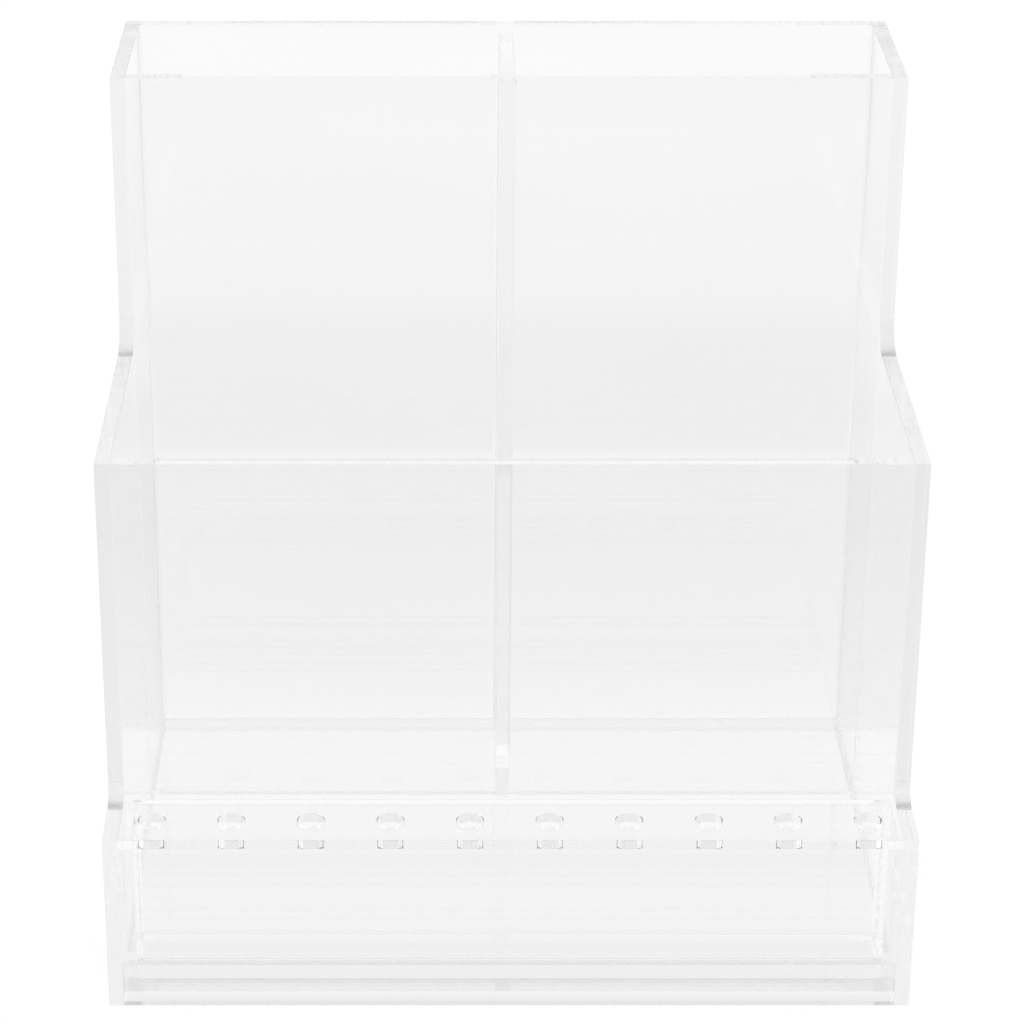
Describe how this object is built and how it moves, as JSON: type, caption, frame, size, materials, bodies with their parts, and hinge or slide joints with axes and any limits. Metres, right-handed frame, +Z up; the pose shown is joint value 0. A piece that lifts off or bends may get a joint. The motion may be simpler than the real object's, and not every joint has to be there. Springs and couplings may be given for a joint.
{
  "type": "nail drill bit holder",
  "caption": "Clear stepped desk organiser of bonded sheets, with tall divided rear bins, a middle bin and a low drilled shelf that holds nail drill bits upright.",
  "frame": {"origin": "middle of the footprint, on the surface that the holder stands on", "axes": "+Z up, +X to the right seen from the front, front with the bit holes towards -Y"},
  "size_m": [0.12, 0.088, 0.1265],
  "materials": {
    "clear_acrylic": "clear colourless acrylic sheet with polished faces and bright cut edges"
  },
  "bodies": {
    "root": {"left_side_panel": "clear_acrylic", "right_side_panel": "clear_acrylic", "back_panel": "clear_acrylic", "tall_bin_front": "clear_acrylic", "rear_divider": "clear_acrylic", "middle_bin_front": "clear_acrylic", "floor_panel": "clear_acrylic", "front_lip": "clear_acrylic", "bit_shelf": "clear_acrylic", "left_shelf_support": "clear_acrylic", "right_shelf_support": "clear_acrylic"}
  },
  "joints": []
}
